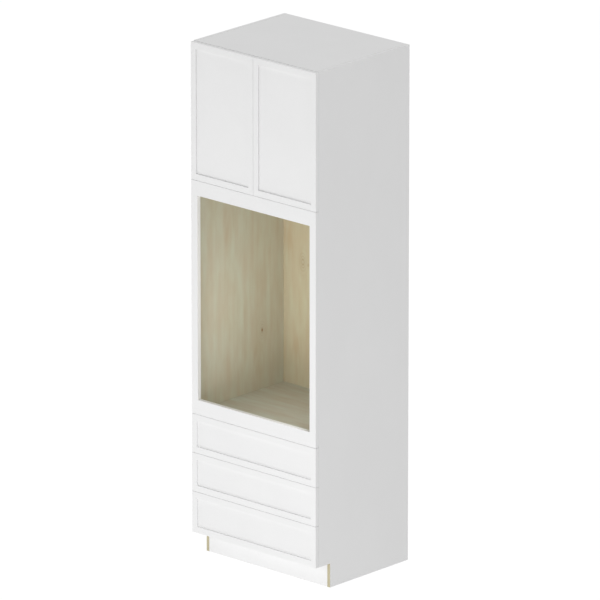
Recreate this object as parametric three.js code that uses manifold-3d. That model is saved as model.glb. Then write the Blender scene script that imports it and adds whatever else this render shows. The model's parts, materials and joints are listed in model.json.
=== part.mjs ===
// Tall oven housing unit: a full-height kitchen cabinet with a two-door cupboard on top,
// an open oven compartment behind a fixed front, three drawers below and a toe recess.
// Millimetres, +Z up. The front faces -Y, and the origin is the middle of the footprint.

import * as THREE from 'three';
import { mergeVertices } from 'three/addons/utils/BufferGeometryUtils.js';
import Module from 'manifold-3d';

const wasm = await Module();
wasm.setup();

// ---------------------------------------------------------------- driving dimensions

// Clearances
const SEAT_GAP = 0.3; // between a piece and what it is seated on
const RUNNING_GAP = 0.4; // between pieces that slide or roll on each other
const CUT_PAST = 5; // how far a cutter runs past the face that it opens

// Case
const CABINET_WIDTH = 762;
const CABINET_HEIGHT = 2438.4;
const CASE_DEPTH = 600;
const BOARD = 15.9;
const TOE_HEIGHT = 114.3;
const TOE_SETBACK = 75;
const BACK_PANEL_THICKNESS = 6;
const BACK_GROOVE_DEPTH = 8;
const BACK_RAIL_THICKNESS = 18;
const BACK_RAIL_HEIGHT = 100;
const CLEAT_HEIGHT = 22;
const CLEAT_SETBACK = 40; // from the case front to the deck cleats

// Fronts: doors, oven front and drawer fronts
const FRONT_THICKNESS = 20;
const FRONT_GAP = 0.7; // between the backs of the doors and the case
const REVEAL = 1.2; // between neighbouring fronts
const SIDE_REVEAL = 0.3;
const TOP_REVEAL = 2.7;
const BOTTOM_REVEAL = 1.2;
const FRAME_WIDTH = 30; // stiles and rails of the doors and drawer fronts
const PANEL_RECESS = 6.5; // how far the panel lies behind the frame
const PANEL_LAP = 10; // how far the panel runs behind the frame
const LOWER_DRAWER_FRONT_HEIGHT = 195.9;
const DRAWER_FRONT_HEIGHT = 184.5; // the middle and upper drawers

// Oven compartment
const OVEN_FRONT_HEIGHT = 1106.7;
const OVEN_FRONT_SIDE = 37.7; // width of the oven front left and right of the opening
const OVEN_FRONT_RAIL = 69.6; // height of the oven front above and below the opening
const DECK_RISE = 12; // top of the oven deck above the oven front's lower edge

// Shelf
const SHELF_SETBACK = 20;
const SHELF_BACK_GAP = 5;
const PIN_HOLE_RADIUS = 2.5;
const PIN_HOLE_DEPTH = 10;
const PIN_HOLE_SPACING = 32;
const PIN_HOLE_ROWS = 9;
const PIN_SETBACK = 37; // from the case front to the front row of holes
const PIN_BACK_INSET = 64; // from the back panel to the rear row of holes
const PIN_TAB_LENGTH = 12;
const PIN_TAB_WIDTH = 12;
const PIN_TAB_THICKNESS = 1.8;
const PIN_WEB_HEIGHT = 9;

// Concealed hinges
const HINGE_INSET = 100; // from the door's ends to the hinge centres
const CUP_RADIUS = 17.5;
const CUP_DEPTH = 11.5;
const CUP_WALL = 1.2;
const CUP_EDGE_DISTANCE = 5; // from the door's edge to the cup
const EAR_SPAN = 56; // height of the cup's mounting ears
const EAR_WIDTH = 12;
const EAR_THICKNESS = 1;
const ARM_WIDTH = 12;
const ARM_LENGTH = 70;
const ARM_REACH = 15.5; // how far the arm stands off the side panel
const ARM_NECK = 6.5; // clear space under the arm in front of its plate
const ARM_NOSE_START = 4.5;
const ARM_NOSE_END = 13.3;
const ARM_SLOPE = 4; // length of the arm's slanted ends
const ARM_TAIL_REACH = 12.4;
const PLATE_THICKNESS = 2.5;
const PLATE_HEIGHT = 60;
const PLATE_WIDTH = 20;
const PLATE_SETBACK = 37; // from the case front to the plate's screws

// Drawer boxes
const BOX_BOARD = 15;
const BOX_BACK_CLEARANCE = 25.7; // from the drawer box to the back panel
const BOX_SIDE_CLEARANCE = 12.5; // from the case side to the drawer box
const BOX_RISE = 30; // bottom of the box above the front's lower edge
const BOX_HEADROOM = 32.7; // top of the box below the front's upper edge
const BOX_BOTTOM_THICKNESS = 6;
const BOX_BOTTOM_RISE = 12;
const BOX_GROOVE_DEPTH = 7;

// Runners
const RUNNER_STEEL = 1.2;
const RUNNER_SETBACK = 2;
const RUNNER_BELOW_BOX = 6; // lower edge of the case rail below the drawer box
const RUNNER_HEADROOM = 5.8; // from the running lip up to the case rail's upper flange
const RUNNER_FOOT = 9.4; // width of the drawer rail's foot under the box's side
const LIP_RISE = 15; // top of the drawer rail's running lip above the box's bottom
const ROLLER_INSET = 14; // from the rail's end to the roller's axle
const AXLE_RADIUS = 3;

// Facets round a circle
const CUP_FACETS = 32;
const ROLLER_FACETS = 20;
const PIN_FACETS = 10;

// ---------------------------------------------------------------- places worked out from them

const LEFT = -1;
const RIGHT = 1;
const HALF_WIDTH = CABINET_WIDTH / 2;
const INNER_HALF_WIDTH = HALF_WIDTH - BOARD;
const CASE_FRONT = FRONT_THICKNESS + FRONT_GAP; // behind the plane of the fronts
const TOTAL_DEPTH = CASE_FRONT + CASE_DEPTH;
const BACK_RAIL_FACE = CASE_DEPTH - BACK_RAIL_THICKNESS;
const BACK_PANEL_FACE = BACK_RAIL_FACE - SEAT_GAP - BACK_PANEL_THICKNESS;
const BOARD_BACK = BACK_PANEL_FACE - SEAT_GAP;

const LOWER_DRAWER_LEVEL = TOE_HEIGHT + BOTTOM_REVEAL;
const MIDDLE_DRAWER_LEVEL = LOWER_DRAWER_LEVEL + LOWER_DRAWER_FRONT_HEIGHT + REVEAL;
const UPPER_DRAWER_LEVEL = MIDDLE_DRAWER_LEVEL + DRAWER_FRONT_HEIGHT + REVEAL;
const OVEN_FRONT_LEVEL = UPPER_DRAWER_LEVEL + DRAWER_FRONT_HEIGHT + REVEAL;
const OVEN_FRONT_TOP = OVEN_FRONT_LEVEL + OVEN_FRONT_HEIGHT;
const DOOR_LEVEL = OVEN_FRONT_TOP + REVEAL;
const DOOR_HEIGHT = CABINET_HEIGHT - TOP_REVEAL - DOOR_LEVEL;
const FRONT_WIDTH = CABINET_WIDTH - 2 * SIDE_REVEAL;
const DOOR_WIDTH = (FRONT_WIDTH - REVEAL) / 2;

const DECK_TOP = OVEN_FRONT_LEVEL + DECK_RISE;
const CUPBOARD_FLOOR_TOP = OVEN_FRONT_TOP + (REVEAL + BOARD) / 2;
const CUPBOARD_CEILING = CABINET_HEIGHT - BOARD;
const SHELF_LEVEL = (CUPBOARD_FLOOR_TOP + CUPBOARD_CEILING - BOARD) / 2; // halfway up
const PIN_LEVEL = SHELF_LEVEL - SEAT_GAP - PIN_HOLE_RADIUS;
const PIN_COLUMNS = [PIN_SETBACK, BACK_PANEL_FACE - PIN_BACK_INSET];
const HINGE_LEVELS = [HINGE_INSET, DOOR_HEIGHT - HINGE_INSET]; // above the door's lower edge

const BOX_HALF_WIDTH = INNER_HALF_WIDTH - BOX_SIDE_CLEARANCE;
const BOX_LENGTH = BACK_PANEL_FACE - BOX_BACK_CLEARANCE;
const BOX_FRONT = FRONT_THICKNESS + SEAT_GAP; // behind the plane of the fronts

// ---------------------------------------------------------------- finishes

function finish(color, roughness, metalness = 0) {
  return new THREE.MeshStandardMaterial({ color, roughness, metalness });
}

const frontLacquer = () => finish(0xf1f2f2, 0.42);
const caseWhite = () => finish(0xeceded, 0.5);
const maple = () => finish(0xd9c7a0, 0.55);
const birch = () => finish(0xe0cda8, 0.55);
const nickel = () => finish(0xb9bbbd, 0.3, 1);
const creamSteel = () => finish(0xe9e6dc, 0.45, 0.2);

// ---------------------------------------------------------------- solids

// A closed geometry as a solid that can be joined and cut.
function solidOf(geometry) {
  const bare = geometry.clone();
  bare.deleteAttribute('normal');
  bare.deleteAttribute('uv');
  const merged = mergeVertices(bare);
  const vertProperties = new Float32Array(merged.attributes.position.array);
  const triVerts = new Uint32Array(merged.index.array);
  return new wasm.Manifold(new wasm.Mesh({ numProp: 3, vertProperties, triVerts }));
}

function geometryOf(solid) {
  const { vertProperties, triVerts } = solid.getMesh();
  const geometry = new THREE.BufferGeometry();
  geometry.setAttribute('position', new THREE.BufferAttribute(vertProperties, 3));
  geometry.setIndex(new THREE.BufferAttribute(triVerts, 1));
  geometry.computeVertexNormals();
  return geometry;
}

function cut(geometry, cutters) {
  const start = solidOf(geometry);
  return geometryOf(cutters.reduce((solid, cutter) => solid.subtract(solidOf(cutter)), start));
}

function join(geometries) {
  return geometryOf(geometries.map(solidOf).reduce((solid, next) => solid.add(next)));
}

// A block between two opposite corners, given in any order.
function block(first, second) {
  const size = first.map((value, axis) => Math.abs(second[axis] - value));
  const middle = first.map((value, axis) => (value + second[axis]) / 2);
  return new THREE.BoxGeometry(...size).translate(...middle);
}

function piece(name, geometry, material, place = [0, 0, 0]) {
  const mesh = new THREE.Mesh(geometry, material);
  mesh.name = name;
  mesh.position.set(...place);
  return mesh;
}

// A plain board between two opposite corners, placed by its middle.
function board(name, material, first, second) {
  const size = first.map((value, axis) => Math.abs(second[axis] - value));
  const middle = first.map((value, axis) => (value + second[axis]) / 2);
  return piece(name, new THREE.BoxGeometry(...size), material, middle);
}

const X_AXIS = new THREE.Vector3(1, 0, 0);
const Y_AXIS = new THREE.Vector3(0, 1, 0);
const Z_AXIS = new THREE.Vector3(0, 0, 1);

// An outline of [x, z] points, run back along +Y from y = 0.
function runBack(shape, length) {
  const turn = new THREE.Matrix4().makeBasis(X_AXIS, Z_AXIS, Y_AXIS.clone().negate());
  const slab = new THREE.ExtrudeGeometry(shape, { depth: length, bevelEnabled: false });
  return slab.applyMatrix4(turn).translate(0, length, 0);
}

// An outline of [y, z] points, run sideways along +X and centred on x = 0.
function runAcross(shape, length) {
  const turn = new THREE.Matrix4().makeBasis(Y_AXIS, Z_AXIS, X_AXIS);
  const slab = new THREE.ExtrudeGeometry(shape, { depth: length, bevelEnabled: false });
  return slab.applyMatrix4(turn).translate(-length / 2, 0, 0);
}

function outline(points) {
  return new THREE.Shape(points.map(([first, second]) => new THREE.Vector2(first, second)));
}

function rectangle(left, bottom, right, top) {
  return outline([[left, bottom], [right, bottom], [right, top], [left, top]]);
}

// A round bar along X or along Y, centred on its place.
function barAlongX(radius, length, facets, place) {
  const bar = new THREE.CylinderGeometry(radius, radius, length, facets);
  return bar.rotateZ(Math.PI / 2).translate(...place);
}

function barAlongY(radius, length, facets, place) {
  return new THREE.CylinderGeometry(radius, radius, length, facets).translate(...place);
}

// ---------------------------------------------------------------- case (y = 0 at its front edge)

function sidePanel(name, side) {
  const slab = runAcross(outline([
    [TOE_SETBACK, 0],
    [CASE_DEPTH, 0],
    [CASE_DEPTH, CABINET_HEIGHT],
    [0, CABINET_HEIGHT],
    [0, TOE_HEIGHT],
    [TOE_SETBACK, TOE_HEIGHT],
  ]), BOARD);
  const innerFace = -side * BOARD / 2;
  const groove = block(
    [innerFace - side * CUT_PAST, BACK_PANEL_FACE - SEAT_GAP, TOE_HEIGHT - SEAT_GAP],
    [innerFace + side * BACK_GROOVE_DEPTH, BACK_RAIL_FACE, CUPBOARD_CEILING],
  );
  const holes = [];
  const holeLength = PIN_HOLE_DEPTH + CUT_PAST;
  const holeMiddle = innerFace + side * (PIN_HOLE_DEPTH - holeLength / 2);
  const rowsBelow = (PIN_HOLE_ROWS - 1) / 2;
  for (const setback of PIN_COLUMNS) {
    for (let row = -rowsBelow; row <= rowsBelow; row += 1) {
      const level = PIN_LEVEL + row * PIN_HOLE_SPACING;
      holes.push(barAlongX(PIN_HOLE_RADIUS, holeLength, PIN_FACETS, [holeMiddle, setback, level]));
    }
  }
  const place = [side * (HALF_WIDTH - BOARD / 2), 0, 0];
  return piece(name, cut(slab, [groove, ...holes]), caseWhite(), place);
}

// A level board between the two side panels.
function levelBoard(name, material, top, front, back) {
  const reach = INNER_HALF_WIDTH - SEAT_GAP;
  return board(name, material, [-reach, front, top - BOARD], [reach, back, top]);
}

function backPanel() {
  const reach = INNER_HALF_WIDTH + BACK_GROOVE_DEPTH - SEAT_GAP;
  return board('back_panel', maple(),
    [-reach, BACK_PANEL_FACE, TOE_HEIGHT],
    [reach, BACK_PANEL_FACE + BACK_PANEL_THICKNESS, CUPBOARD_CEILING - SEAT_GAP]);
}

function backRail(name, bottom) {
  const reach = INNER_HALF_WIDTH - SEAT_GAP;
  return board(name, maple(),
    [-reach, BACK_RAIL_FACE, bottom],
    [reach, CASE_DEPTH, bottom + BACK_RAIL_HEIGHT]);
}

function deckCleat(name, side) {
  const face = side * (INNER_HALF_WIDTH - SEAT_GAP);
  const top = DECK_TOP - BOARD - SEAT_GAP;
  return board(name, maple(),
    [face, CLEAT_SETBACK, top - CLEAT_HEIGHT],
    [face - side * BOARD, BOARD_BACK, top]);
}

function toeKickBoard() {
  const reach = INNER_HALF_WIDTH - SEAT_GAP;
  return board('toe_kick_board', caseWhite(),
    [-reach, TOE_SETBACK, 0],
    [reach, TOE_SETBACK + BOARD, TOE_HEIGHT - SEAT_GAP]);
}

function buildCase() {
  const body = new THREE.Group();
  body.add(
    sidePanel('left_side_panel', LEFT),
    sidePanel('right_side_panel', RIGHT),
    levelBoard('top_panel', caseWhite(), CABINET_HEIGHT, 0, CASE_DEPTH),
    levelBoard('bottom_panel', maple(), TOE_HEIGHT + BOARD, 0, BOARD_BACK),
    levelBoard('oven_deck', maple(), DECK_TOP, 0, BOARD_BACK),
    levelBoard('cupboard_floor', maple(), CUPBOARD_FLOOR_TOP, 0, BOARD_BACK),
    deckCleat('left_deck_cleat', LEFT),
    deckCleat('right_deck_cleat', RIGHT),
    backPanel(),
    backRail('upper_back_rail', CUPBOARD_CEILING - SEAT_GAP - BACK_RAIL_HEIGHT),
    backRail('lower_back_rail', TOE_HEIGHT),
    toeKickBoard(),
  );
  return body;
}

// ---------------------------------------------------------------- shelf and its supports

// A peg in the side panel's hole, with a web on the panel and a tab under the shelf.
function shelfSupport(name, side, setback) {
  const top = PIN_HOLE_RADIUS;
  const wall = side * INNER_HALF_WIDTH;
  const pegLength = PIN_HOLE_DEPTH - SEAT_GAP + PIN_TAB_THICKNESS;
  const pegMiddle = side * (PIN_HOLE_DEPTH - SEAT_GAP - pegLength / 2);
  const webFace = -side * SEAT_GAP;
  const peg = barAlongX(PIN_HOLE_RADIUS - SEAT_GAP, pegLength, PIN_FACETS, [pegMiddle, 0, 0]);
  const web = block(
    [webFace, -PIN_TAB_WIDTH / 2, top - PIN_WEB_HEIGHT],
    [webFace - side * PIN_TAB_THICKNESS, PIN_TAB_WIDTH / 2, top],
  );
  const tab = block(
    [webFace, -PIN_TAB_WIDTH / 2, top - PIN_TAB_THICKNESS],
    [webFace - side * PIN_TAB_LENGTH, PIN_TAB_WIDTH / 2, top],
  );
  return piece(name, join([peg, web, tab]), nickel(), [wall, setback, PIN_LEVEL]);
}

function buildShelf() {
  const shelf = new THREE.Group();
  const [frontColumn, rearColumn] = PIN_COLUMNS;
  shelf.add(
    levelBoard('adjustable_shelf', maple(), SHELF_LEVEL + BOARD, SHELF_SETBACK,
      BACK_PANEL_FACE - SHELF_BACK_GAP),
    shelfSupport('front_left_shelf_support', LEFT, frontColumn),
    shelfSupport('front_right_shelf_support', RIGHT, frontColumn),
    shelfSupport('rear_left_shelf_support', LEFT, rearColumn),
    shelfSupport('rear_right_shelf_support', RIGHT, rearColumn),
  );
  return shelf;
}

// ---------------------------------------------------------------- oven front

// The fixed front round the oven opening, seated on the case's front edges.
function ovenSurroundPanel() {
  const shape = rectangle(-FRONT_WIDTH / 2, 0, FRONT_WIDTH / 2, OVEN_FRONT_HEIGHT);
  const half = FRONT_WIDTH / 2 - OVEN_FRONT_SIDE;
  const head = OVEN_FRONT_HEIGHT - OVEN_FRONT_RAIL;
  shape.holes.push(rectangle(-half, OVEN_FRONT_RAIL, half, head));
  const geometry = runBack(shape, CASE_FRONT - SEAT_GAP);
  return piece('oven_surround_panel', geometry, frontLacquer(), [0, 0, OVEN_FRONT_LEVEL]);
}

// ---------------------------------------------------------------- doors (y = 0 at their face)

// The bores for the hinge cups, in a door whose outer edge is on the given side.
function cupBores(side) {
  const depth = CUP_DEPTH + SEAT_GAP + CUT_PAST;
  const middle = FRONT_THICKNESS + CUT_PAST - depth / 2;
  const x = cupPlace(side);
  const bore = (level) => barAlongY(CUP_RADIUS + SEAT_GAP, depth, CUP_FACETS, [x, middle, level]);
  return HINGE_LEVELS.map(bore);
}

function cupPlace(side) {
  return side * (DOOR_WIDTH / 2 - CUP_EDGE_DISTANCE - CUP_RADIUS);
}

// The door's frame, rebated at the back for its panel.
function doorFrame(name, side) {
  const half = DOOR_WIDTH / 2;
  const shape = rectangle(-half, 0, half, DOOR_HEIGHT);
  const innerHalf = half - FRAME_WIDTH;
  shape.holes.push(rectangle(-innerHalf, FRAME_WIDTH, innerHalf, DOOR_HEIGHT - FRAME_WIDTH));
  const lapHalf = innerHalf + PANEL_LAP;
  const lapInset = FRAME_WIDTH - PANEL_LAP;
  const rebate = block(
    [-lapHalf, PANEL_RECESS - SEAT_GAP, lapInset],
    [lapHalf, FRONT_THICKNESS + CUT_PAST, DOOR_HEIGHT - lapInset],
  );
  const geometry = cut(runBack(shape, FRONT_THICKNESS), [rebate, ...cupBores(side)]);
  return piece(name, geometry, frontLacquer());
}

function doorPanel(name, side) {
  const half = DOOR_WIDTH / 2 - FRAME_WIDTH + PANEL_LAP - SEAT_GAP;
  const inset = FRAME_WIDTH - PANEL_LAP + SEAT_GAP;
  const slab = block([-half, PANEL_RECESS, inset], [half, FRONT_THICKNESS, DOOR_HEIGHT - inset]);
  return piece(name, cut(slab, cupBores(side)), frontLacquer());
}

// The hinge's cup, open at the back, with the ears that screw to the door.
function hingeCup(name, side, level) {
  const shell = barAlongY(CUP_RADIUS, CUP_DEPTH, CUP_FACETS, [0, -CUP_DEPTH / 2, 0]);
  const ears = block(
    [0, 0, -EAR_SPAN / 2],
    [-side * EAR_WIDTH, EAR_THICKNESS, EAR_SPAN / 2],
  );
  const hollowLength = CUP_DEPTH - CUP_WALL + CUT_PAST;
  const hollowMiddle = CUT_PAST - hollowLength / 2;
  const hollow = barAlongY(CUP_RADIUS - CUP_WALL, hollowLength, CUP_FACETS, [0, hollowMiddle, 0]);
  const geometry = cut(join([shell, ears]), [hollow]);
  return piece(name, geometry, nickel(), [cupPlace(side), FRONT_THICKNESS, level]);
}

function buildDoor(word, side) {
  const door = new THREE.Group();
  const [lowLevel, highLevel] = HINGE_LEVELS;
  door.add(
    doorFrame(`${word}_door_frame`, side),
    doorPanel(`${word}_door_panel`, side),
    hingeCup(`${word}_lower_hinge_cup`, side, lowLevel),
    hingeCup(`${word}_upper_hinge_cup`, side, highLevel),
  );
  door.position.set(side * (REVEAL + DOOR_WIDTH) / 2, 0, DOOR_LEVEL);
  return door;
}

// The hinge's arm on its mounting plate, on the inner face of a side panel.
function hingeArm(name, side, level) {
  const nose = EAR_THICKNESS - FRONT_GAP + SEAT_GAP;
  const plateFront = PLATE_SETBACK - PLATE_WIDTH / 2;
  const plateBack = PLATE_SETBACK + PLATE_WIDTH / 2;
  const point = (reach, back) => [-side * reach, back];
  const profile = outline([
    point(ARM_NOSE_START, nose),
    point(ARM_NOSE_END, nose),
    point(ARM_REACH, nose + ARM_SLOPE),
    point(ARM_REACH, plateFront),
    point(ARM_TAIL_REACH, ARM_LENGTH - ARM_SLOPE),
    point(ARM_NECK, ARM_LENGTH),
    point(SEAT_GAP, ARM_LENGTH - ARM_SLOPE),
    point(SEAT_GAP, plateFront),
    point(ARM_NECK, plateFront - ARM_NECK),
    point(ARM_NECK, nose + 2 * ARM_SLOPE),
  ]);
  const arm = new THREE.ExtrudeGeometry(profile, { depth: ARM_WIDTH, bevelEnabled: false });
  const plate = block(
    [-side * SEAT_GAP, plateFront, -PLATE_HEIGHT / 2],
    [-side * (SEAT_GAP + PLATE_THICKNESS), plateBack, PLATE_HEIGHT / 2],
  );
  const geometry = join([arm.translate(0, 0, -ARM_WIDTH / 2), plate]);
  return piece(name, geometry, nickel(), [side * INNER_HALF_WIDTH, 0, level]);
}

function buildHingeArms() {
  const arms = new THREE.Group();
  const [lowLevel, highLevel] = HINGE_LEVELS.map((level) => DOOR_LEVEL + level);
  for (const [word, side] of [['left', LEFT], ['right', RIGHT]]) {
    arms.add(
      hingeArm(`${word}_lower_hinge_arm`, side, lowLevel),
      hingeArm(`${word}_upper_hinge_arm`, side, highLevel),
    );
  }
  return arms;
}

// ---------------------------------------------------------------- drawers

function drawerFront(name, height) {
  const half = FRONT_WIDTH / 2;
  const slab = block([-half, 0, 0], [half, FRONT_THICKNESS, height]);
  const recess = block(
    [-half + FRAME_WIDTH, -CUT_PAST, FRAME_WIDTH],
    [half - FRAME_WIDTH, PANEL_RECESS, height - FRAME_WIDTH],
  );
  return piece(name, cut(slab, [recess]), frontLacquer());
}

// The grooves for the box's bottom, as one ring of cutters round the box.
function bottomGrooves() {
  const bottom = BOX_BOTTOM_RISE - SEAT_GAP;
  const top = BOX_BOTTOM_RISE + BOX_BOTTOM_THICKNESS + SEAT_GAP;
  const half = BOX_HALF_WIDTH - BOX_BOARD + BOX_GROOVE_DEPTH;
  const front = BOX_BOARD - BOX_GROOVE_DEPTH;
  return block([-half, front, bottom], [half, BOX_LENGTH - front, top]);
}

function buildDrawerBox(word, height) {
  const box = new THREE.Group();
  const grooves = [bottomGrooves()];
  const inner = BOX_HALF_WIDTH - BOX_BOARD;
  const reach = inner - SEAT_GAP;
  const side = (sign) => block([sign * inner, 0, 0], [sign * BOX_HALF_WIDTH, BOX_LENGTH, height]);
  const end = (front) => block([-reach, front, 0], [reach, front + BOX_BOARD, height]);
  const bottomReach = inner + BOX_GROOVE_DEPTH - SEAT_GAP;
  const bottomInset = BOX_BOARD - BOX_GROOVE_DEPTH + SEAT_GAP;
  box.add(
    piece(`${word}_drawer_left_side`, cut(side(LEFT), grooves), birch()),
    piece(`${word}_drawer_right_side`, cut(side(RIGHT), grooves), birch()),
    piece(`${word}_drawer_box_front`, cut(end(0), grooves), birch()),
    piece(`${word}_drawer_box_back`, cut(end(BOX_LENGTH - BOX_BOARD), grooves), birch()),
    board(`${word}_drawer_bottom`, birch(),
      [-bottomReach, bottomInset, BOX_BOTTOM_RISE],
      [bottomReach, BOX_LENGTH - bottomInset, BOX_BOTTOM_RISE + BOX_BOTTOM_THICKNESS]),
  );
  return box;
}

// ---------------------------------------------------------------- runners

// Heights are above the bottom of the drawer box; reach is measured from the case side.
const LIP_UNDERSIDE = LIP_RISE - RUNNER_STEEL;
const CHANNEL_FLOOR = RUNNER_STEEL - RUNNER_BELOW_BOX;
const CHANNEL_CEILING = LIP_RISE + RUNNER_HEADROOM;
const CHANNEL_TOP = CHANNEL_CEILING + RUNNER_STEEL;
const WEB_REACH = SEAT_GAP + RUNNER_STEEL;
const LEG_REACH = BOX_SIDE_CLEARANCE - SEAT_GAP; // the drawer rail's face on the box
const LEG_OUTER_REACH = LEG_REACH - RUNNER_STEEL;
const FLANGE_REACH = LEG_OUTER_REACH - RUNNING_GAP;
const ROLLER_RADIUS = (LIP_UNDERSIDE - CHANNEL_FLOOR) / 2 - 2 * RUNNING_GAP;
const ROLLER_WIDTH = FLANGE_REACH - WEB_REACH - RUNNING_GAP;
const ROLLER_REACH = WEB_REACH + RUNNING_GAP + ROLLER_WIDTH / 2; // to the roller's middle
const FRONT_ROLLER_LEVEL = LIP_UNDERSIDE - RUNNING_GAP - ROLLER_RADIUS;
const REAR_ROLLER_LEVEL = CHANNEL_FLOOR + RUNNING_GAP + ROLLER_RADIUS;

// The case rail: a channel on the side panel with a roller at its front end.
function caseRail(name, side) {
  const at = (reach, level) => [-side * reach, level];
  const channel = runBack(outline([
    at(SEAT_GAP, -RUNNER_BELOW_BOX),
    at(FLANGE_REACH, -RUNNER_BELOW_BOX),
    at(FLANGE_REACH, CHANNEL_FLOOR),
    at(WEB_REACH, CHANNEL_FLOOR),
    at(WEB_REACH, CHANNEL_CEILING),
    at(FLANGE_REACH, CHANNEL_CEILING),
    at(FLANGE_REACH, CHANNEL_TOP),
    at(SEAT_GAP, CHANNEL_TOP),
  ]), BOX_LENGTH);
  const axleLength = ROLLER_REACH - SEAT_GAP;
  const axlePlace = [-side * (SEAT_GAP + axleLength / 2), ROLLER_INSET, FRONT_ROLLER_LEVEL];
  const rollerPlace = [-side * ROLLER_REACH, ROLLER_INSET, FRONT_ROLLER_LEVEL];
  const axle = barAlongX(AXLE_RADIUS, axleLength, ROLLER_FACETS, axlePlace);
  const roller = barAlongX(ROLLER_RADIUS, ROLLER_WIDTH, ROLLER_FACETS, rollerPlace);
  const place = [side * INNER_HALF_WIDTH, CASE_FRONT + RUNNER_SETBACK, 0];
  return piece(name, join([channel, axle, roller]), creamSteel(), place);
}

// The drawer rail: an angle under the box's side with a lip that runs on the front roller,
// and a roller at its rear end that runs in the case rail.
function drawerRail(name, side) {
  const at = (reach, level) => [-side * reach, level];
  const footEnd = LEG_REACH + RUNNER_FOOT;
  const foot = -SEAT_GAP - RUNNER_STEEL;
  const lipStart = WEB_REACH + RUNNING_GAP;
  const angle = runBack(outline([
    at(LEG_OUTER_REACH, foot),
    at(footEnd, foot),
    at(footEnd, -SEAT_GAP),
    at(LEG_REACH, -SEAT_GAP),
    at(LEG_REACH, LIP_RISE),
    at(lipStart, LIP_RISE),
    at(lipStart, LIP_UNDERSIDE),
    at(LEG_OUTER_REACH, LIP_UNDERSIDE),
  ]), BOX_LENGTH);
  const back = BOX_LENGTH - ROLLER_INSET;
  const axleLength = LEG_REACH - ROLLER_REACH;
  const axlePlace = [-side * (LEG_REACH - axleLength / 2), back, REAR_ROLLER_LEVEL];
  const rollerPlace = [-side * ROLLER_REACH, back, REAR_ROLLER_LEVEL];
  const axle = barAlongX(AXLE_RADIUS, axleLength, ROLLER_FACETS, axlePlace);
  const roller = barAlongX(ROLLER_RADIUS, ROLLER_WIDTH, ROLLER_FACETS, rollerPlace);
  const place = [side * INNER_HALF_WIDTH, BOX_FRONT, 0];
  return piece(name, join([angle, axle, roller]), creamSteel(), place);
}

function buildDrawer(word, level, frontHeight) {
  const drawer = new THREE.Group();
  const box = buildDrawerBox(word, frontHeight - BOX_RISE - BOX_HEADROOM);
  box.position.set(0, BOX_FRONT, 0);
  const carriage = new THREE.Group();
  carriage.position.set(0, 0, BOX_RISE);
  carriage.add(
    box,
    drawerRail(`${word}_drawer_left_rail`, LEFT),
    drawerRail(`${word}_drawer_right_rail`, RIGHT),
    caseRail(`${word}_drawer_left_case_rail`, LEFT),
    caseRail(`${word}_drawer_right_case_rail`, RIGHT),
  );
  drawer.add(drawerFront(`${word}_drawer_front`, frontHeight), carriage);
  drawer.position.set(0, 0, level);
  return drawer;
}

// ---------------------------------------------------------------- assembly

const housing = new THREE.Group();
housing.position.set(0, -TOTAL_DEPTH / 2, 0);

const caseGroup = new THREE.Group();
caseGroup.position.set(0, CASE_FRONT, 0);
caseGroup.add(buildCase(), buildShelf(), buildHingeArms());

housing.add(
  caseGroup,
  ovenSurroundPanel(),
  buildDoor('left', LEFT),
  buildDoor('right', RIGHT),
  buildDrawer('upper', UPPER_DRAWER_LEVEL, DRAWER_FRONT_HEIGHT),
  buildDrawer('middle', MIDDLE_DRAWER_LEVEL, DRAWER_FRONT_HEIGHT),
  buildDrawer('lower', LOWER_DRAWER_LEVEL, LOWER_DRAWER_FRONT_HEIGHT),
);

export default housing;
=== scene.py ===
"""Finishes a tall kitchen cabinet for a built-in oven.

The boards, fronts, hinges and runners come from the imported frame. Each is copied, its edges are eased,
and its faces get veneer, lacquer, plywood edges or metal. Screws, hinge links and buffers are modelled
here. Lengths are in metres, +Z is up and the fronts face -Y.
"""

import json
from functools import cache
from math import pi, radians

import bpy
from mathutils import Matrix, Vector


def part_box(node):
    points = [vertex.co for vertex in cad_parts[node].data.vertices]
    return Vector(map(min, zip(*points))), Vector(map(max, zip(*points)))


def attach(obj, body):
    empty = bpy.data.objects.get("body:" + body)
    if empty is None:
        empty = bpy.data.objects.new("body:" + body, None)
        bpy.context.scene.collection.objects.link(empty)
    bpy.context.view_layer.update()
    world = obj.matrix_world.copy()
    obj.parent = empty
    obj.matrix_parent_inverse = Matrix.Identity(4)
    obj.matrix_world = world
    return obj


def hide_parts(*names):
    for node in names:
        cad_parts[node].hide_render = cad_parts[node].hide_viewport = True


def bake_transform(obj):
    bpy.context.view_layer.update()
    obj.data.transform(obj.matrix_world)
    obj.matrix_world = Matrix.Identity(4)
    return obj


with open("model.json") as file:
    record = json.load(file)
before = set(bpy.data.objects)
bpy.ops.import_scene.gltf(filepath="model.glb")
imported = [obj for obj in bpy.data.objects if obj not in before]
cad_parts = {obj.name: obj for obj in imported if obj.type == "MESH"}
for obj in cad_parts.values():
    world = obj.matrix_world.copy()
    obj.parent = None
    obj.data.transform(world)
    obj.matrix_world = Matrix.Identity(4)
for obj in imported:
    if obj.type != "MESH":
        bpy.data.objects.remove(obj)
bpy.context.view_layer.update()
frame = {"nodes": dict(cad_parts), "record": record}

bl_info = {
    "name": "Tall Oven Housing Unit",
    "version": (1, 0, 0),
    "blender": (4, 5, 0),
    "location": "3D View > Sidebar > Cabinet",
    "description": "Finishes a tall oven cabinet with veneers, lacquer, fittings and a studio",
    "category": "Add Mesh",
}

# ---------------------------------------------------------------- places read from the frame

MM = 0.001
SIDES = {"left": -1, "right": 1}
DRAWERS = ("upper", "middle", "lower")
HINGES = ("upper", "lower")

BODY_OF = {
    node: body
    for body, nodes in frame["record"]["behaviour"]["bodies"].items()
    for node in nodes
}
SLOT_OF = {row["node"]: row["material_slot"] for row in frame["record"]["subparts"]}

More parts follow.
